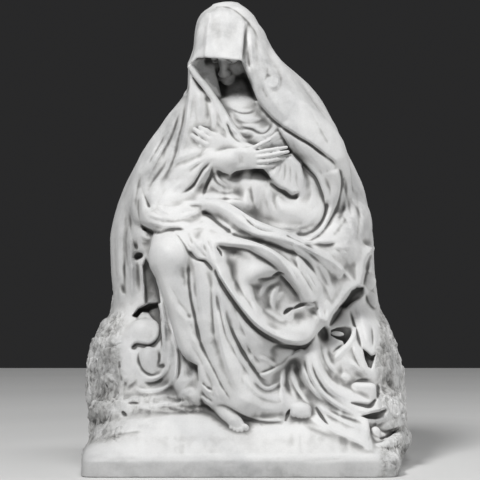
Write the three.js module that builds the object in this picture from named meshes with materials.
// A seated, veiled woman in mourning, carved from one block of white marble: the hooded mantle, the
// crossed arms, the draped lap and knees, the rough rock that she sits on and the low smooth base under
// her feet are all one solid.
//
// The carving is laid out on a front drawing, as a sculptor enlarges from one. On it u runs to the
// right, v runs down from the top of the veil and d comes forward, all in drawing units. The drawing is
// a perspective one, seen from VIEW_DISTANCE, so toWorld's inverse below brings every feature back to
// its true place: a millimetre frame with +Z up, the front facing -Y and the base on z = 0.
import * as THREE from 'three';

// ---------------------------------------------------------------- driving dimensions (millimetres)
const UNIT = 2.7;             // one drawing unit at the middle plane of the block
const VIEW_DISTANCE = 5500;   // from the eye of the drawing to the middle plane
const EYE_X = -16.2;          // eye of the drawing, sideways
const EYE_Z = 594.6;          // eye of the drawing, above the underside of the base
const DRAWING = 480;          // side of the square drawing, in units
const CELL = 11;              // size of the cells that the stone is roughed out in
const FACETS = 9700;          // facets left on the finished solid
const HALF_WIDTH = 470;       // limits of the block of stone
const HALF_DEPTH = 440;
const BLOCK_HEIGHT = 1250;
const CENTRE_X = -1.2;         // middle of the finished work, moved to the origin
const CENTRE_Y = -34.26;

// ---------------------------------------------------------------- masses, in drawing units
// loft: sections down the figure, each [v, left, right, back, front, middle, fullness]
// tube: a tapering limb or roll of cloth through [u, v, d, radius]
// ellipsoid and block: centre, half sizes, turn in degrees about u, v, d
// join is how softly a mass runs into the ones before it
const MASSES = [
  ['mantle tent', 'loft', [
    [6, 214, 236, -6, 20, 0.5, 2.0],
    [16, 201, 250, -18, 34, 0.5, 2.1],
    [30, 197, 260, -27, 40, 0.5, 2.1],
    [46, 195, 268, -35, 42, 0.5, 2.2],
    [60, 190, 281, -40, 40, 0.5, 2.2],
    [84, 189, 308, -47, 32, 0.5, 2.2],
    [100, 182, 321, -52, 28, 0.5, 2.2],
    [120, 168, 332, -58, 28, 0.5, 2.2],
    [144, 150, 343, -64, 30, 0.5, 2.2],
    [168, 136, 355, -70, 33, 0.52, 2.3],
    [192, 123, 365, -77, 36, 0.54, 2.3],
    [216, 115, 369, -84, 40, 0.56, 2.4],
    [240, 111, 373, -90, 46, 0.58, 2.4],
    [270, 112, 374, -96, 50, 0.6, 2.5],
    [300, 114, 377, -100, 52, 0.62, 2.5],
    [330, 112, 384, -104, 52, 0.62, 2.5],
  ], '+', 4, 7],
  ['hood crown', 'ellipsoid', [228, 32, 14], [30, 30, 36], [0, 0, 0], '+', 8],
  ['hood front fold', 'block', [223.5, 38, 31], [20.5, 25, 25], 6, [12, 5, 9], '+', 9],
  ['hood side fall', 'tube', [[252, 36, 22, 13], [266, 64, 22, 17], [294, 98, 16, 21], [322, 142, 8, 22]], '+', 12],
  ['hood left fall', 'tube', [[199, 50, 32, 7], [194, 76, 34, 7], [189, 112, 26, 10], [178, 150, 20, 16]], '+', 8],
  ['left breast cloth', 'ellipsoid', [204, 158, 28], [34, 36, 22], [0, 0, 0], '+', 12],
  ['chest', 'ellipsoid', [248, 142, 6], [54, 50, 43], [0, 0, 0], '+', 8],
  ['neck', 'tube', [[240, 70, 16, 16], [243, 108, 20, 20]], '+', 8],
  ['hood hollow', 'ellipsoid', [224, 80, 44], [19, 21, 30], [0, 0, -14], '-', 4],
  ['hood hollow deep', 'ellipsoid', [229, 72, 34], [15, 18, 24], [0, 0, 0], '-', 4],
  ['head', 'ellipsoid', [230, 68, 22], [15.5, 21, 20], [0, 0, 0], '+', 3],
  ['throat', 'tube', [[236, 90, 22, 13], [243, 112, 28, 17]], '+', 6],
  ['belly', 'ellipsoid', [262, 196, 32], [40, 36, 28], [0, 0, 0], '+', 8],
  ['right upper arm', 'tube', [[182, 132, 12, 20], [160, 172, 22, 24], [156, 205, 32, 20]], '+', 10],
  ['right forearm', 'tube', [[154, 205, 36, 19], [186, 182, 46, 15], [214, 160, 52, 10]], '+', 10],
  ['left upper arm', 'tube', [[312, 140, 8, 26], [320, 176, 18, 26], [312, 205, 30, 22]], '+', 10],
  ['left forearm', 'tube', [[306, 206, 38, 20], [286, 180, 46, 16], [258, 158, 50, 10]], '+', 8],
  ['sleeve pouch', 'ellipsoid', [290, 204, 42], [39, 25, 25], [0, 0, 8], '+', 8],
  ['right thigh', 'tube', [[200, 240, 10, 36], [184, 246, 55, 32], [170, 258, 86, 25]], '+', 12],
  ['left thigh', 'tube', [[290, 252, 10, 38], [280, 262, 55, 34], [258, 278, 90, 26]], '+', 12],
  ['lap cloth', 'ellipsoid', [226, 252, 54], [66, 38, 50], [0, 0, 10], '+', 12],
  ['mantle apron', 'tube', [[344, 222, 12, 25], [334, 246, 44, 26], [306, 264, 66, 30]], '+', 12],
  ['mantle tail', 'tube', [[340, 262, 56, 20], [334, 296, 64, 11], [329, 318, 66, 4]], '+', 8],
  ['right shin', 'tube', [[170, 260, 88, 22], [179, 306, 92, 17], [192, 350, 96, 16], [216, 396, 104, 13]], '+', 8],
  ['left shin', 'tube', [[257, 280, 92, 23], [250, 330, 98, 22], [262, 390, 96, 16], [292, 410, 102, 9]], '+', 8],
  ['skirt front', 'ellipsoid', [213, 306, 74], [30, 70, 36], [0, 0, -8], '+', 10],
  ['skirt core', 'loft', [
    [236, 160, 322, -60, 70, 0.5, 2.6],
    [262, 160, 326, -60, 76, 0.5, 2.6],
    [300, 164, 334, -60, 82, 0.5, 2.6],
    [340, 172, 344, -60, 88, 0.5, 2.6],
    [380, 184, 356, -60, 96, 0.5, 2.6],
    [412, 192, 364, -60, 106, 0.5, 2.6],
    [434, 196, 368, -60, 112, 0.5, 2.6],
  ], '+', 8],
  ['skirt middle column', 'tube', [[218, 296, 94, 16], [226, 350, 106, 18], [242, 398, 110, 18]], '+', 12],
  ['scoop', 'ellipsoid', [272, 300, 72], [50, 44, 36], [0, 0, 12], '+', 10],
  ['scoop rim', 'tube', [[216, 262, 98, 10], [229, 296, 104, 11], [254, 326, 104, 12], [290, 334, 98, 11], [314, 324, 88, 9]], '+', 8],
  ['right skirt fold', 'tube', [[306, 344, 82, 12], [318, 384, 92, 13], [350, 408, 92, 12]], '+', 10],
  ['lap roll left', 'tube', [[141, 214, 46, 8], [160, 219, 68, 11], [180, 217, 74, 10], [202, 205, 60, 6]], '+', 8],
  ['lap main roll', 'tube', [[196, 205, 58, 5], [222, 209, 74, 8], [252, 228, 90, 9], [290, 243, 97, 9], [320, 260, 90, 9], [340, 280, 76, 7]], '+', 6],
  ['lap second roll', 'tube', [[206, 241, 96, 6], [240, 245, 104, 7], [272, 257, 108, 7], [296, 280, 104, 7], [309, 300, 98, 6]], '+', 6],
  ['front roll left', 'tube', [[199, 248, 99, 5], [204, 290, 103, 6], [210, 340, 108, 6], [226, 392, 116, 6]], '+', 8],
  ['front roll right', 'tube', [[214, 250, 102, 5], [222, 280, 108, 6], [234, 315, 112, 6], [242, 345, 112, 5]], '+', 8],
  ['left hand', 'ellipsoid', [219, 143, 51], [27, 8, 7], [0, 0, 10], '+', 4],
  ['right hand', 'ellipsoid', [241, 158, 58], [21, 9, 7], [0, 0, -6], '+', 5],
  ['right fingers', 'ellipsoid', [272, 155.5, 60], [20, 9, 5], [0, 0, -2], '+', 4],
  ['right foot', 'tube', [[222, 410, 112, 8], [232, 419, 122, 7], [241, 426, 128, 4.5]], '+', 5],
  ['left foot', 'tube', [[288, 410, 102, 8], [303, 414, 112, 6]], '+', 5],
  ['rock seat', 'loft', [
    [284, 124, 366, -96, 6, 0.5, 2.6],
    [304, 106, 377, -104, 26, 0.5, 2.8],
    [326, 97, 388, -110, 42, 0.5, 3.0],
    [350, 92, 395, -116, 54, 0.5, 3.4],
    [400, 89, 403, -120, 70, 0.5, 3.6],
    [440, 92, 408, -122, 96, 0.5, 4.0],
    [456, 84, 402, -123, 112, 0.5, 4.0],
    [480, 82, 398, -124, 120, 0.5, 4.0],
  ], '+', 6],
  ['left cloth', 'ellipsoid', [152, 382, 14], [64, 76, 66], [0, 0, 0], '+', 12],
  ['left ground', 'ellipsoid', [156, 414, 54], [64, 24, 46], [0, 0, 0], '+', 12],
  ['right cloth', 'ellipsoid', [340, 380, 16], [60, 76, 68], [0, 0, 0], '+', 12],
  ['right ground', 'ellipsoid', [342, 412, 56], [60, 30, 48], [0, 0, 0], '+', 12],
  ['plinth', 'loft', [
    [408, 140, 330, -110, 100, 0.5, 4.0],
    [424, 108, 372, -112, 118, 0.5, 4.6],
    [440, 93, 392, -114, 130, 0.5, 5.5],
    [452, 84, 398, -116, 140, 0.5, 7.0],
    [461, 82, 399, -118, 147, 0.5, 9.0],
    [480, 80, 397, -120, 148, 0.5, 10.0],
  ], '+', 4],
];

// ---------------------------------------------------------------- folds, in drawing units
// ridge and groove: line, half width, height, lean (below 1 steeper on the right of the line), soft ends
// edge: the free edge of a cloth that lies over another; boss: a swelling or a hollow
const FOLDS = [
  ['hood side long fold', 'ridge', [[262, 44], [278, 74], [300, 104], [322, 132], [338, 160]], 8, 4.0, 0.8],
  ['mantle edge right', 'edge', [[241, 64], [246, 78], [253, 94], [265, 110], [280, 125], [300, 138], [320, 151], [334, 161], [339, 172], [340, 186], [337, 204], [330, 219], [320, 233], [306, 240]], 16, 7, -1.0, [0.05, 0.12]],
  ['veil layer edge', 'edge', [[262, 112], [279, 128], [284, 138], [291, 150], [300, 160], [310, 170], [318, 182], [324, 196]], 12, 5, -1.0, [0.15, 0.2]],
  ['outer valley', 'groove', [[346, 168], [349, 190], [347, 214], [342, 232]], 4.5, 6],
  ['outer ridge', 'ridge', [[356, 190], [360, 212], [360, 234], [356, 252]], 6, 4],
  ['pocket', 'groove', [[334, 238], [344, 224], [349, 212]], 5, 6],
  ['veil edge left', 'edge', [[190, 66], [191, 74], [200, 83], [206, 91], [212, 98], [217, 105], [222, 114]], 14, 5, 1.0, [0.1, 0.3]],
  ['veil ridge left', 'ridge', [[190, 66], [189.5, 90], [187, 125], [184, 140], [179, 156], [172, 172]], 4, 4, 1.2],
  ['veil hollow left', 'groove', [[196, 92], [196, 112], [192, 128]], 6, 4],
  ['veil fold 2', 'ridge', [[212, 104], [218, 118], [226, 130], [238, 140]], 3.6, 3.4, 0.7],
  ['left mantle fold 1', 'ridge', [[182, 112], [177, 134], [170, 152], [160, 172]], 4.5, 4.0, 0.7],
  ['left mantle fold 2', 'ridge', [[170, 120], [163, 136], [156, 152], [147, 172], [142, 186]], 4.5, 3.6, 0.8],
  ['left mantle fold 3', 'ridge', [[158, 134], [150, 153], [141, 172], [134, 196], [130, 220]], 5, 3.6, 0.8],
  ['left outer ridge', 'ridge', [[124, 196], [120, 225], [119, 255], [124, 292]], 6, 4.0],
  ['left outer groove', 'groove', [[131, 204], [128, 232], [126, 258], [128, 288]], 3.4, 4.2],
  ['left tail ridge', 'ridge', [[133, 240], [131, 264], [131, 288], [131, 308]], 4.5, 6.0],
  ['left recess', 'groove', [[142, 244], [150, 268], [152, 292], [150, 312]], 8, 12, 1.0, [0.2, 0.1]],
  ['arm recess', 'groove', [[206, 196], [212, 184], [222, 174], [232, 168]], 7, 8],
  ['belly hollow', 'groove', [[232, 180], [235, 198], [244, 212]], 5, 5],
  ['hands hollow', 'groove', [[230, 178], [240, 172], [254, 170], [268, 178]], 4.5, 8],
  ['lap valley left', 'groove', [[196, 216], [206, 226], [222, 234]], 5, 6],
  ['knee crown', 'ridge', [[152, 240], [164, 234], [176, 235], [184, 246], [190, 260]], 5, 3.5],
  ['leg left edge', 'ridge', [[150, 256], [158, 280], [164, 304], [171, 328], [182, 350], [196, 368]], 4, 3.5],
  ['front fold b', 'ridge', [[205, 250], [212, 280], [214, 312], [216, 344], [226, 374]], 3.6, 5, 0.8],
  ['front fold c', 'ridge', [[214, 252], [222, 284], [232, 312], [238, 340]], 4, 5, 1.2],
  ['scoop rim ridge', 'ridge', [[214, 256], [220, 276], [232, 298], [248, 321], [268, 335], [292, 342], [309, 338], [319, 324]], 3.6, 6, 0.8],
  ['scoop under line', 'groove', [[222, 292], [236, 318], [252, 336], [272, 347], [296, 351], [314, 343]], 4.5, 10],
  ['scoop bowl', 'boss', [272, 304], [26, 22], -16, 30, 0.2],
  ['scoop knee', 'boss', [258, 266], [20, 14], 6, 10],
  ['bowl ridge 1', 'ridge', [[236, 264], [238, 284], [250, 304], [266, 320]], 4, 4],
  ['tail edge', 'edge', [[374, 250], [367, 262], [364, 276], [359, 287], [350, 293], [343, 302], [336, 311], [329, 325]], 14, 8, 1.0, [0.05, 0.05]],
  ['tail fold', 'ridge', [[314, 262], [322, 284], [327, 306], [328, 322]], 4, 4],
  ['column ridge', 'ridge', [[220, 330], [224, 356], [232, 382], [240, 404]], 5, 5],
  ['column right ridge', 'ridge', [[230, 336], [238, 354], [248, 371], [262, 384], [280, 384]], 3.4, 5, 0.7],
  ['skirt recess', 'boss', [262, 362], [17, 19], -14, -20, 0.3],
  ['skirt recess 2', 'groove', [[240, 338], [256, 348], [276, 354], [298, 354]], 5, 9],
  ['skirt fold 1', 'ridge', [[268, 352], [268, 372], [274, 396], [284, 412]], 4, 5],
  ['skirt fold 2', 'ridge', [[284, 352], [288, 374], [300, 396], [312, 410]], 4, 5],
  ['skirt fold 3', 'ridge', [[298, 350], [303, 372], [314, 392], [334, 408], [354, 414]], 4, 6, 0.8],
  ['skirt fold 4', 'ridge', [[312, 346], [318, 368], [330, 390], [350, 402], [366, 406]], 4, 5, 0.8],
  ['skirt fold 5', 'ridge', [[322, 340], [328, 360], [342, 380], [360, 390]], 4, 4, 0.8],
  ['right bow hole', 'boss', [340, 332], [5, 8], -9, 10],
  ['right strip ridge', 'ridge', [[358, 300], [366, 316], [376, 334], [384, 360]], 4, 6],
  ['right strip ridge 2', 'ridge', [[374, 300], [382, 320], [388, 345]], 4, 5],
  ['right boulder 1', 'boss', [366, 392], [14, 9], 8, 20, 0.4],
  ['right boulder 2', 'boss', [388, 430], [14, 9], 8, -20, 0.4],
  ['left block', 'boss', [142, 331], [16, 12], 9, 0, 0.4],
  ['left teardrop', 'ridge', [[164, 312], [165, 332], [163, 350]], 3.4, 6],
  ['left u fold 2', 'ridge', [[132, 382], [146, 390], [162, 389], [176, 376], [180, 356]], 3.4, 4],
  ['left dark triangle', 'boss', [188, 364], [8, 10], -14, -30, 0.2],
  ['left recess low', 'boss', [142, 420], [12, 7], -7, 0, 0.3],
];

// ---------------------------------------------------------------- the block of stone, as a field
const lowX = -HALF_WIDTH, lowY = -HALF_DEPTH, lowZ = -CELL * 1.5;
const NX = Math.ceil((2 * HALF_WIDTH) / CELL) + 1;
const NY = Math.ceil((2 * HALF_DEPTH - 60) / CELL) + 1;
const NZ = Math.ceil((BLOCK_HEIGHT + CELL * 2) / CELL) + 1;
const FOCAL = VIEW_DISTANCE / UNIT;
const MID = DRAWING / 2;
const field = new Float32Array(NX * NY * NZ).fill(60);
const at = (i, j, k) => (i * NY + j) * NZ + k;
const xOf = (i) => lowX + i * CELL, yOf = (j) => lowY + j * CELL, zOf = (k) => lowZ + k * CELL;
const scaleAt = (j) => (yOf(j) + VIEW_DISTANCE) / FOCAL;
const uOf = (i, j) => MID + (xOf(i) - EYE_X) / scaleAt(j);
const vOf = (j, k) => MID - (zOf(k) - EYE_Z) / scaleAt(j);
const dOf = (j) => -yOf(j) / UNIT;

const clamp = (t, a, b) => Math.min(Math.max(t, a), b);
const ease = (t) => { t = clamp(t, 0, 1); return t * t * (3 - 2 * t); };
const join = (a, b, k) => {
  const h = Math.max(k - Math.abs(a - b), 0) / k;
  return Math.min(a, b) - h * h * k * 0.25;
};

// Adds or cuts a mass: shape(u, v, d) is its distance, box its reach on the drawing.
function carve(shape, box, op, k) {
  const [u0, u1, v0, v1, d0, d1] = box;
  for (let j = 0; j < NY; j++) {
    const d = dOf(j);
    if (d < d0 || d > d1) continue;
    for (let i = 0; i < NX; i++) {
      const u = uOf(i, j);
      if (u < u0 || u > u1) continue;
      for (let n = 0; n < NZ; n++) {
        const v = vOf(j, n);
        if (v < v0 || v > v1) continue;
        const c = at(i, j, n), s = shape(u, v, d);
        field[c] = op === '+' ? join(field[c], s, k) : -join(-field[c], s, k);
      }
    }
  }
}

function turn([rx, ry, rz]) {
  const m = new THREE.Matrix4().makeRotationFromEuler(
    new THREE.Euler(rx * Math.PI / 180, ry * Math.PI / 180, rz * Math.PI / 180, 'ZYX'));
  return m.clone().invert();
}

function ellipsoid([cu, cv, cd], [ru, rv, rd], rot, op, k) {
  const back = turn(rot), p = new THREE.Vector3(), m = Math.max(ru, rv, rd) + k + 3;
  carve((u, v, d) => {
    p.set(u - cu, v - cv, d - cd).applyMatrix4(back);
    const a = p.x / ru, b = p.y / rv, e = p.z / rd;
    const q = Math.sqrt(a * a + b * b + e * e);
    const g = Math.sqrt((a / ru) ** 2 + (b / rv) ** 2 + (e / rd) ** 2) + 1e-9;
    return q * (q - 1) / g;
  }, [cu - m, cu + m, cv - m, cv + m, cd - m, cd + m], op, k);
}

function block([cu, cv, cd], [ru, rv, rd], round, rot, op, k) {
  const back = turn(rot), p = new THREE.Vector3(), m = Math.hypot(ru, rv, rd) + k + 3;
  carve((u, v, d) => {
    p.set(u - cu, v - cv, d - cd).applyMatrix4(back);
    const a = Math.abs(p.x) - ru + round, b = Math.abs(p.y) - rv + round, e = Math.abs(p.z) - rd + round;
    return Math.hypot(Math.max(a, 0), Math.max(b, 0), Math.max(e, 0)) + Math.min(Math.max(a, b, e), 0) - round;
  }, [cu - m, cu + m, cv - m, cv + m, cd - m, cd + m], op, k);
}

function spine(points, steps) {
  const list = points.map((p) => new THREE.Vector3(p[0], p[1], p[2]));
  const curve = new THREE.CatmullRomCurve3(list, false, 'catmullrom', 0.5);
  const n = (points.length - 1) * steps, out = curve.getPoints(n);
  return out.map((p, i) => {
    const t = (i / n) * (points.length - 1), a = Math.min(Math.floor(t), points.length - 2);
    const w0 = points[a][3] ?? 1, w1 = points[a + 1][3] ?? 1;
    return [p.x, p.y, p.z, w0 + (w1 - w0) * (t - a)];
  });
}

function tube(points, op, k) {
  const c = points.length > 2 ? spine(points, 5) : points;
  const m = Math.max(...c.map((p) => p[3])) + k + 3;
  const span = (n) => [Math.min(...c.map((p) => p[n])) - m, Math.max(...c.map((p) => p[n])) + m];
  carve((u, v, d) => {
    let best = 1e9;
    for (let n = 0; n + 1 < c.length; n++) {
      const a = c[n], b = c[n + 1];
      const bu = b[0] - a[0], bv = b[1] - a[1], bd = b[2] - a[2];
      const h = clamp(((u - a[0]) * bu + (v - a[1]) * bv + (d - a[2]) * bd) / (bu * bu + bv * bv + bd * bd + 1e-6), 0, 1);
      const s = Math.hypot(u - a[0] - bu * h, v - a[1] - bv * h, d - a[2] - bd * h) - (a[3] + (b[3] - a[3]) * h);
      if (s < best) best = s;
    }
    return best;
  }, [...span(0), ...span(1), ...span(2)], op, k);
}

// A smooth curve through a column of the loft's sections, without overshoot.
function column(rows, n) {
  const x = rows.map((r) => r[0]), y = rows.map((r) => r[n]), h = [], s = [];
  for (let i = 0; i + 1 < x.length; i++) { h.push(x[i + 1] - x[i]); s.push((y[i + 1] - y[i]) / h[i]); }
  const m = y.map(() => 0);
  for (let i = 1; i + 1 < x.length; i++) {
    if (s[i - 1] * s[i] > 0) {
      const w1 = 2 * h[i] + h[i - 1], w2 = h[i] + 2 * h[i - 1];
      m[i] = (w1 + w2) / (w1 / s[i - 1] + w2 / s[i]);
    }
  }
  m[0] = s[0]; m[m.length - 1] = s[s.length - 1];
  return (v) => {
    const t = clamp(v, x[0], x[x.length - 1]);
    let i = 0;
    while (i < x.length - 2 && t > x[i + 1]) i++;
    const q = (t - x[i]) / h[i];
    return (1 + 2 * q) * (1 - q) ** 2 * y[i] + q * (1 - q) ** 2 * h[i] * m[i]
      + q * q * (3 - 2 * q) * y[i + 1] + q * q * (q - 1) * h[i] * m[i + 1];
  };
}

// Long folds that hang down the back and the sides of the mantle.
const crest = (x) => Math.sqrt(Math.abs(Math.sin(x)) + 0.02) * 1.5 - 1.12;
function hangingFolds(angle, v, height) {
  const w = ease((-Math.sin(angle) + 0.15) / 0.5) * ease((v - 40) / 120);
  if (w === 0) return 0;
  const x = angle + 0.0011 * (v - 60) * Math.cos(angle) + 0.05 * Math.sin(v * 0.021 + 2 * angle);
  return height * w * (0.5 * crest(x * 2.9 + 0.5) + 0.32 * crest(x * 5.3 + 1.7 + 0.004 * v)
    + 0.18 * crest(x * 9.7 + 0.3 - 0.006 * v));
}

function loft(rows, op, k, folds = 0) {
  const top = rows[0][0], foot = rows[rows.length - 1][0];
  const curves = [1, 2, 3, 4, 5, 6].map((n) => column(rows, n));
  const cache = new Map();
  const section = (v) => {
    const key = Math.round(v * 2);
    if (!cache.has(key)) cache.set(key, curves.map((c) => c(key / 2)));
    return cache.get(key);
  };
  const min = (n) => Math.min(...rows.map((r) => r[n])), max = (n) => Math.max(...rows.map((r) => r[n]));
  const m = k + 3;
  carve((u, v, d) => {
    const [uL, uR, dB, dF, middle, power] = section(v);
    const cu = (uL + uR) / 2, a = (uR - uL) / 2, cd = dB + (dF - dB) * middle;
    const e = d - cd, b = e > 0 ? dF - cd : cd - dB;
    const q = (Math.abs((u - cu) / a) ** power + Math.abs(e / b) ** power) ** (1 / power);
    let f = (q - 1) * Math.min(a, b);
    if (folds) f -= hangingFolds(Math.atan2(e / b, (u - cu) / a), v, folds);
    return Math.max(f, top - v, v - foot);
  }, [min(1) - m, max(2) + m, top - m, foot + m, min(3) - m, max(4) + m], op, k);
}

const makers = {
  loft: (r) => loft(r[2], r[3], r[4], r[5] ?? 0),
  tube: (r) => tube(r[2], r[3], r[4]),
  ellipsoid: (r) => ellipsoid(r[2], r[3], r[4], r[5], r[6]),
  block: (r) => block(r[2], r[3], r[4], r[5], r[6], r[7]),
};
for (const mass of MASSES) makers[mass[1]](mass);

// ---------------------------------------------------------------- folds, worked into the front
// Each fold is a line on the drawing with a width and a height. They are summed in a relief, and the
// front surface moves forward or back by it.
const relief = new Float32Array(DRAWING * DRAWING);

function foldLine([, kind, points, width, height, lean = 1, ends = [0.22, 0.22]]) {
  const c = points.length > 2 ? spine(points.map((p) => [p[0], p[1], 0]), 6) : points;
  const reach = width * 3.2 + 3;
  const us = c.map((p) => p[0]), vs = c.map((p) => p[1]);
  const length = [0];
  for (let n = 0; n + 1 < c.length; n++) length.push(length[n] + Math.hypot(us[n + 1] - us[n], vs[n + 1] - vs[n]));
  const total = length[length.length - 1];
  const i0 = Math.max(0, Math.floor(Math.min(...us) - reach)), i1 = Math.min(DRAWING - 1, Math.ceil(Math.max(...us) + reach));
  const j0 = Math.max(0, Math.floor(Math.min(...vs) - reach)), j1 = Math.min(DRAWING - 1, Math.ceil(Math.max(...vs) + reach));
  for (let j = j0; j <= j1; j++) {
    for (let i = i0; i <= i1; i++) {
      const u = i + 0.5, v = j + 0.5;
      let best = 1e9, side = 1, along = 0;
      for (let n = 0; n + 1 < c.length; n++) {
        const du = us[n + 1] - us[n], dv = vs[n + 1] - vs[n], pu = u - us[n], pv = v - vs[n];
        const h = clamp((pu * du + pv * dv) / (du * du + dv * dv + 1e-9), 0, 1);
        const r = Math.hypot(pu - h * du, pv - h * dv);
        if (r < best) { best = r; side = Math.sign(du * pv - dv * pu); along = (length[n] + h * (length[n + 1] - length[n])) / total; }
      }
      const fade = ease(along / ends[0]) * ease((1 - along) / ends[1]);
      let r;
      if (kind === 'edge') {
        const s = best * side * (lean > 0 ? 1 : -1), lip = Math.abs(lean);
        r = ease((s + lip) / (2 * lip)) * Math.exp(-Math.max(s, 0) / width)
          - (s < 2 ? 0.35 * Math.exp(-(((s + 1.2 * lip) / (width * 0.25)) ** 2)) : 0);
      } else {
        const x = best / (width * (side > 0 ? lean : 2 - lean));
        r = Math.exp(-(Math.sqrt(x * x + 0.0324) ** 1.6) * 1.15) / 0.93 * (kind === 'ridge' ? 1 : -1);
      }
      relief[j * DRAWING + i] += r * height * fade;
    }
  }
}

function boss([, , [cu, cv], [ru, rv], height, degrees = 0, flat = 0]) {
  const a = degrees * Math.PI / 180, m = Math.max(ru, rv) * 2.6;
  for (let j = Math.max(0, Math.floor(cv - m)); j <= Math.min(DRAWING - 1, cv + m); j++) {
    for (let i = Math.max(0, Math.floor(cu - m)); i <= Math.min(DRAWING - 1, cu + m); i++) {
      const u = i + 0.5 - cu, v = j + 0.5 - cv;
      const x = (u * Math.cos(a) + v * Math.sin(a)) / ru, y = (-u * Math.sin(a) + v * Math.cos(a)) / rv;
      const q = Math.max(Math.hypot(x, y) - flat, 0) / (1 - flat * 0.6);
      relief[j * DRAWING + i] += height * Math.exp(-q * q * 1.1);
    }
  }
}
for (const fold of FOLDS) (fold[1] === 'boss' ? boss : foldLine)(fold);

// no fold is sharper than the cells can hold
for (let pass = 0; pass < 2; pass++) for (const step of [1, DRAWING]) {
  const old = relief.slice(), r = Math.round(CELL / UNIT / 2.2);
  for (let n = r * step; n < relief.length - r * step; n++) {
    let sum = 0;
    for (let q = -r; q <= r; q++) sum += old[n + q * step];
    relief[n] = sum / (2 * r + 1);
  }
}

const pick = (map, n, u, v) => {
  const x = clamp(u * n / DRAWING - 0.5, 0, n - 1.001), y = clamp(v * n / DRAWING - 0.5, 0, n - 1.001);
  const i = Math.floor(x), j = Math.floor(y), a = x - i, b = y - j, o = j * n + i;
  return map[o] * (1 - a) * (1 - b) + map[o + 1] * a * (1 - b) + map[o + n] * (1 - a) * b + map[o + n + 1] * a * b;
};

// How far forward the stone reaches at each place of the drawing.
const REACH = 160;
const front = new Float32Array(REACH * REACH).fill(-200);
for (let b = 0; b < REACH; b++) {
  for (let a = 0; a < REACH; a++) {
    const u = (a + 0.5) * DRAWING / REACH, v = (b + 0.5) * DRAWING / REACH;
    for (let j = 0; j < NY; j++) {
      const s = scaleAt(j);
      const i = Math.round((EYE_X + (u - MID) * s - lowX) / CELL), k = Math.round((EYE_Z - (v - MID) * s - lowZ) / CELL);
      if (i < 0 || i >= NX || k < 0 || k >= NZ) continue;
      if (field[at(i, j, k)] <= 0) { front[b * REACH + a] = dOf(j); break; }
    }
  }
}

const worked = new Float32Array(field);
for (let j = 0; j < NY; j++) {
  for (let i = 0; i < NX; i++) {
    const u = uOf(i, j);
    for (let k = 0; k < NZ; k++) {
      const v = vOf(j, k), r = pick(relief, DRAWING, u, v);
      if (r === 0) continue;
      const behind = pick(front, REACH, u, v) - dOf(j);
      const w = 1 - ease((behind - 14 - Math.abs(r)) / 20);
      if (w <= 0) continue;
      const y = clamp(j + r * w * UNIT / CELL, 0, NY - 1.001), n = Math.floor(y), f = y - n;
      worked[at(i, j, k)] = field[at(i, n, k)] * (1 - f) + field[at(i, n + 1, k)] * f;
    }
  }
}
// the flat underside, and no value too near zero, so that no facet is a sliver
for (let i = 0; i < NX; i++) for (let j = 0; j < NY; j++) for (let k = 0; k < NZ; k++) {
  const c = at(i, j, k);
  let f = Math.max(worked[c], -zOf(k) / UNIT);
  if (i === 0 || j === 0 || k === 0 || i === NX - 1 || j === NY - 1 || k === NZ - 1) f = Math.max(f, 1);
  const least = CELL / UNIT * 0.04;
  if (Math.abs(f) < least) f = f < 0 ? -least : least;
  worked[c] = f;
}

// ---------------------------------------------------------------- the surface, by tetrahedra
const verts = [], faces = [], edgeVertex = new Map();
const corner = [[0, 0, 0], [1, 0, 0], [0, 1, 0], [1, 1, 0], [0, 0, 1], [1, 0, 1], [0, 1, 1], [1, 1, 1]];
const tets = [];
for (const [p, q, r] of [[0, 1, 2], [1, 2, 0], [2, 0, 1], [0, 2, 1], [2, 1, 0], [1, 0, 2]]) {
  const t = [0, 1 << p, (1 << p) | (1 << q), 7];
  if ((q - p + 3) % 3 === 2) [t[1], t[2]] = [t[2], t[1]];
  tets.push(t);
}
const even = [[0, 1, 2, 3], [1, 0, 3, 2], [2, 3, 0, 1], [3, 2, 1, 0]];
const pairs = { 3: [0, 1, 2, 3], 5: [0, 2, 3, 1], 9: [0, 3, 1, 2], 6: [1, 2, 0, 3], 10: [1, 3, 2, 0], 12: [2, 3, 0, 1] };
for (let i = 0; i + 1 < NX; i++) for (let j = 0; j + 1 < NY; j++) for (let k = 0; k + 1 < NZ; k++) {
  const value = corner.map(([a, b, c]) => worked[at(i + a, j + b, k + c)]);
  let inside = 0;
  for (const f of value) if (f < 0) inside++;
  if (inside === 0 || inside === 8) continue;
  const cut = (m, n) => {
    if (m > n) [m, n] = [n, m];
    const [a, b, c] = corner[m], key = at(i + a, j + b, k + c) * 8 + (n ^ m);
    let id = edgeVertex.get(key);
    if (id === undefined) {
      const t = value[m] / (value[m] - value[n]), e = corner[n];
      id = verts.length / 3;
      verts.push(xOf(i + a + (e[0] - a) * t), yOf(j + b + (e[1] - b) * t), zOf(k + c + (e[2] - c) * t));
      edgeVertex.set(key, id);
    }
    return id;
  };
  for (const t of tets) {
    let code = 0;
    for (let n = 0; n < 4; n++) if (value[t[n]] < 0) code |= 1 << n;
    if (code === 0 || code === 15) continue;
    const bits = (code & 1) + ((code >> 1) & 1) + ((code >> 2) & 1) + ((code >> 3) & 1);
    if (bits === 2) {
      const [a, b, c, e] = pairs[code].map((n) => t[n]);
      const q = [cut(a, c), cut(a, e), cut(b, e), cut(b, c)];
      faces.push(q[0], q[1], q[2], q[0], q[2], q[3]);
    } else {
      const lone = Math.log2(bits === 1 ? code : 15 - code);
      const [a, b, c, e] = even[lone].map((n) => t[n]);
      const f = [cut(a, b), cut(a, c), cut(a, e)];
      if (bits === 1) faces.push(f[0], f[1], f[2]); else faces.push(f[0], f[2], f[1]);
    }
  }
}

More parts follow.
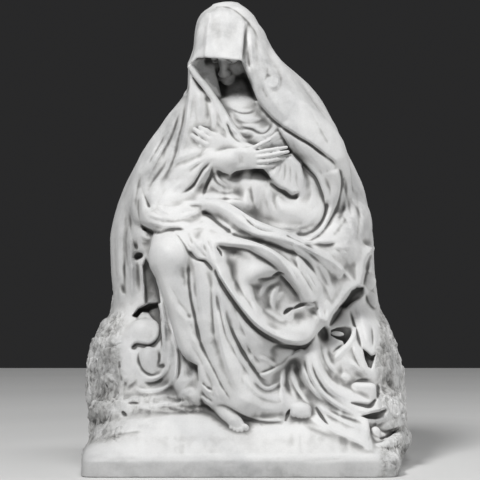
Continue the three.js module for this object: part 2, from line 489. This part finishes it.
// keep the one connected body, and drop any crumb
{
  const parent = Array.from({ length: verts.length / 3 }, (_, n) => n);
  const find = (n) => { while (parent[n] !== n) { parent[n] = parent[parent[n]]; n = parent[n]; } return n; };
  for (let n = 0; n < faces.length; n += 3) {
    parent[find(faces[n])] = find(faces[n + 1]); parent[find(faces[n + 1])] = find(faces[n + 2]);
  }
  const count = new Map();
  for (let n = 0; n < faces.length; n += 3) { const r = find(faces[n]); count.set(r, (count.get(r) ?? 0) + 1); }
  const body = [...count].sort((a, b) => b[1] - a[1])[0][0];
  const kept = [];
  for (let n = 0; n < faces.length; n += 3) if (find(faces[n]) === body) kept.push(faces[n], faces[n + 1], faces[n + 2]);
  faces.length = 0;
  for (const n of kept) faces.push(n);
}

// Even out the facets: each corner moves towards the middle of its neighbours, along the surface more
// than across it. The underside stays flat.
{
  const near = Array.from({ length: verts.length / 3 }, () => new Set());
  for (let f = 0; f < faces.length; f += 3) for (let n = 0; n < 3; n++) {
    near[faces[f + n]].add(faces[f + (n + 1) % 3]); near[faces[f + n]].add(faces[f + (n + 2) % 3]);
  }
  for (const amount of [0.6, 0.6, -0.25, 0.5]) {
    const old = verts.slice();
    for (let v = 0; v < near.length; v++) {
      const low = old[v * 3 + 2] < CELL * 0.1;
      for (let m = 0; m < (low ? 2 : 3); m++) {
        let sum = 0;
        for (const w of near[v]) sum += old[w * 3 + m];
        verts[v * 3 + m] += amount * (sum / near[v].size - old[v * 3 + m]);
      }
    }
  }
}

// ---------------------------------------------------------------- fewer, larger facets
// Edges are collapsed in order of how little that moves the surface, and never where it would fold
// the surface over or pinch it.
function dress(pos, tri, target) {
  const nv = pos.length / 3;
  let nf = tri.length / 3;
  const alive = new Uint8Array(nf).fill(1), around = Array.from({ length: nv }, () => []);
  for (let f = 0; f < nf; f++) for (let n = 0; n < 3; n++) around[tri[f * 3 + n]].push(f);
  const Q = new Float64Array(nv * 10), stamp = new Uint32Array(nv);
  const normal = (a, b, c) => {
    const ux = b[0] - a[0], uy = b[1] - a[1], uz = b[2] - a[2], wx = c[0] - a[0], wy = c[1] - a[1], wz = c[2] - a[2];
    return [uy * wz - uz * wy, uz * wx - ux * wz, ux * wy - uy * wx];
  };
  const P = (v) => [pos[v * 3], pos[v * 3 + 1], pos[v * 3 + 2]];
  for (let f = 0; f < nf; f++) {
    const a = P(tri[f * 3]), b = P(tri[f * 3 + 1]), c = P(tri[f * 3 + 2]), n = normal(a, b, c);
    const l = Math.hypot(...n) || 1, area = l / 2, [x, y, z] = n.map((t) => t / l), w = -(x * a[0] + y * a[1] + z * a[2]);
    // the facets of the flat underside weigh more, so that it stays flat
    const g = area * (z < -0.99 && a[2] < 1 ? 50 : 1);
    const q = [x * x, x * y, x * z, x * w, y * y, y * z, y * w, z * z, z * w, w * w];
    for (let n = 0; n < 3; n++) for (let m = 0; m < 10; m++) Q[tri[f * 3 + n] * 10 + m] += q[m] * g;
  }
  const heap = [];
  const push = (e) => {
    let n = heap.length; heap.push(e);
    while (n > 0) { const p = (n - 1) >> 1; if (heap[p][0] <= e[0]) break; heap[n] = heap[p]; n = p; }
    heap[n] = e;
  };
  const pop = () => {
    const top = heap[0], e = heap.pop();
    if (heap.length) {
      let n = 0;
      for (;;) {
        let c = 2 * n + 1;
        if (c >= heap.length) break;
        if (c + 1 < heap.length && heap[c + 1][0] < heap[c][0]) c++;
        if (heap[c][0] >= e[0]) break;
        heap[n] = heap[c]; n = c;
      }
      heap[n] = e;
    }
    return top;
  };
  const error = (q, x, y, z) => q[0] * x * x + 2 * q[1] * x * y + 2 * q[2] * x * z + 2 * q[3] * x
    + q[4] * y * y + 2 * q[5] * y * z + 2 * q[6] * y + q[7] * z * z + 2 * q[8] * z + q[9];
  const plan = (a, b) => {
    const q = new Array(10);
    for (let m = 0; m < 10; m++) q[m] = Q[a * 10 + m] + Q[b * 10 + m];
    const pa = P(a), pb = P(b), mid = [(pa[0] + pb[0]) / 2, (pa[1] + pb[1]) / 2, (pa[2] + pb[2]) / 2];
    const det = q[0] * (q[4] * q[7] - q[5] * q[5]) - q[1] * (q[1] * q[7] - q[5] * q[2]) + q[2] * (q[1] * q[5] - q[4] * q[2]);
    const size = q[0] + q[4] + q[7];
    let best = null;
    if (Math.abs(det) > 1e-3 * size ** 3) {
      const x = -(q[3] * (q[4] * q[7] - q[5] * q[5]) - q[1] * (q[6] * q[7] - q[5] * q[8]) + q[2] * (q[6] * q[5] - q[4] * q[8])) / det;
      const y = -(q[0] * (q[6] * q[7] - q[8] * q[5]) - q[3] * (q[1] * q[7] - q[5] * q[2]) + q[2] * (q[1] * q[8] - q[6] * q[2])) / det;
      const z = -(q[0] * (q[4] * q[8] - q[5] * q[6]) - q[1] * (q[1] * q[8] - q[6] * q[2]) + q[3] * (q[1] * q[5] - q[4] * q[2])) / det;
      const l = Math.hypot(pa[0] - pb[0], pa[1] - pb[1], pa[2] - pb[2]);
      if (Math.hypot(x - mid[0], y - mid[1], z - mid[2]) < l) best = [x, y, z];
    }
    if (!best) best = [pa, pb, mid].reduce((s, p) => (error(q, ...p) < error(q, ...s) ? p : s));
    const l2 = (pa[0] - pb[0]) ** 2 + (pa[1] - pb[1]) ** 2 + (pa[2] - pb[2]) ** 2;
    return [Math.max(error(q, ...best), 0) + l2 * 0.02, a, b, stamp[a], stamp[b], best];
  };
  const ring = (v) => {
    const s = new Set();
    for (const f of around[v]) for (let n = 0; n < 3; n++) s.add(tri[f * 3 + n]);
    s.delete(v);
    return s;
  };
  for (let pass = 0, was = 0; nf > target && pass < 12 && nf !== was; pass++) {
  was = nf;
  for (let v = 0; v < nv; v++) if (around[v].length) for (const w of ring(v)) if (w > v) push(plan(v, w));
  while (nf > target && heap.length) {
    const [, a, b, sa, sb, to] = pop();
    if (stamp[a] !== sa || stamp[b] !== sb) continue;
    const ra = ring(a), rb = ring(b);
    let shared = 0;
    for (const v of ra) if (rb.has(v)) shared++;
    if (shared !== 2) continue;
    let good = true;
    for (const v of [a, b]) {
      for (const f of around[v]) {
        const t = [tri[f * 3], tri[f * 3 + 1], tri[f * 3 + 2]];
        if (t.includes(a) && t.includes(b)) continue;
        const old = normal(...t.map(P)), now = normal(...t.map((n) => (n === v ? to : P(n))));
        const lo = Math.hypot(...old), ln = Math.hypot(...now);
        const p = t.map((n) => (n === v ? to : P(n)));
        const longest = Math.max(...[0, 1, 2].map((n) => Math.hypot(...[0, 1, 2].map((m) => p[n][m] - p[(n + 1) % 3][m]))));
        const was = t.map(P), longestWas = Math.max(...[0, 1, 2].map((n) => Math.hypot(...[0, 1, 2].map((m) => was[n][m] - was[(n + 1) % 3][m]))));
        const thin = ln < 0.12 * longest * longest && ln / (longest * longest) < lo / (longestWas * longestWas);
        if (thin || (old[0] * now[0] + old[1] * now[1] + old[2] * now[2]) < 0.3 * lo * ln) { good = false; break; }
      }
      if (!good) break;
    }
    if (!good) continue;
    for (let m = 0; m < 3; m++) pos[a * 3 + m] = to[m];
    for (let m = 0; m < 10; m++) Q[a * 10 + m] += Q[b * 10 + m];
    for (const f of around[b]) {
      const t = [tri[f * 3], tri[f * 3 + 1], tri[f * 3 + 2]];
      if (t.includes(a)) { alive[f] = 0; nf--; } else {
        for (let n = 0; n < 3; n++) if (tri[f * 3 + n] === b) tri[f * 3 + n] = a;
        around[a].push(f);
      }
    }
    around[b] = [];
    for (const v of [...ra, ...rb]) if (v !== a && v !== b) around[v] = around[v].filter((f) => alive[f]);
    around[a] = around[a].filter((f) => alive[f]);
    stamp[b]++; stamp[a]++;
    for (const w of ring(a)) push(plan(a, w));
  }
  heap.length = 0;
  }
  const index = new Map(), outPos = [], outTri = [];
  for (let f = 0; f < alive.length; f++) {
    if (!alive[f]) continue;
    for (let n = 0; n < 3; n++) {
      const v = tri[f * 3 + n];
      if (!index.has(v)) { index.set(v, outPos.length / 3); outPos.push(...P(v)); }
      outTri.push(index.get(v));
    }
  }
  return [outPos, outTri];
}
const [points, triangles] = dress(verts, faces, FACETS);
for (let n = 0; n < points.length; n += 3) {
  points[n] -= CENTRE_X;
  points[n + 1] -= CENTRE_Y;
  if (points[n + 2] < CELL * 0.12) points[n + 2] = 0;    // everything that low rests on the ground
}

// ---------------------------------------------------------------- the statue
const geometry = new THREE.BufferGeometry();
geometry.setAttribute('position', new THREE.Float32BufferAttribute(points, 3));
geometry.setIndex(triangles);
geometry.computeVertexNormals();
const marble = new THREE.MeshStandardMaterial({ color: 0xe4e3df, roughness: 0.48, metalness: 0 });
const statue = new THREE.Mesh(geometry, marble);
statue.name = 'mater_dolorosa';

const group = new THREE.Group();
group.add(statue);
export default group;
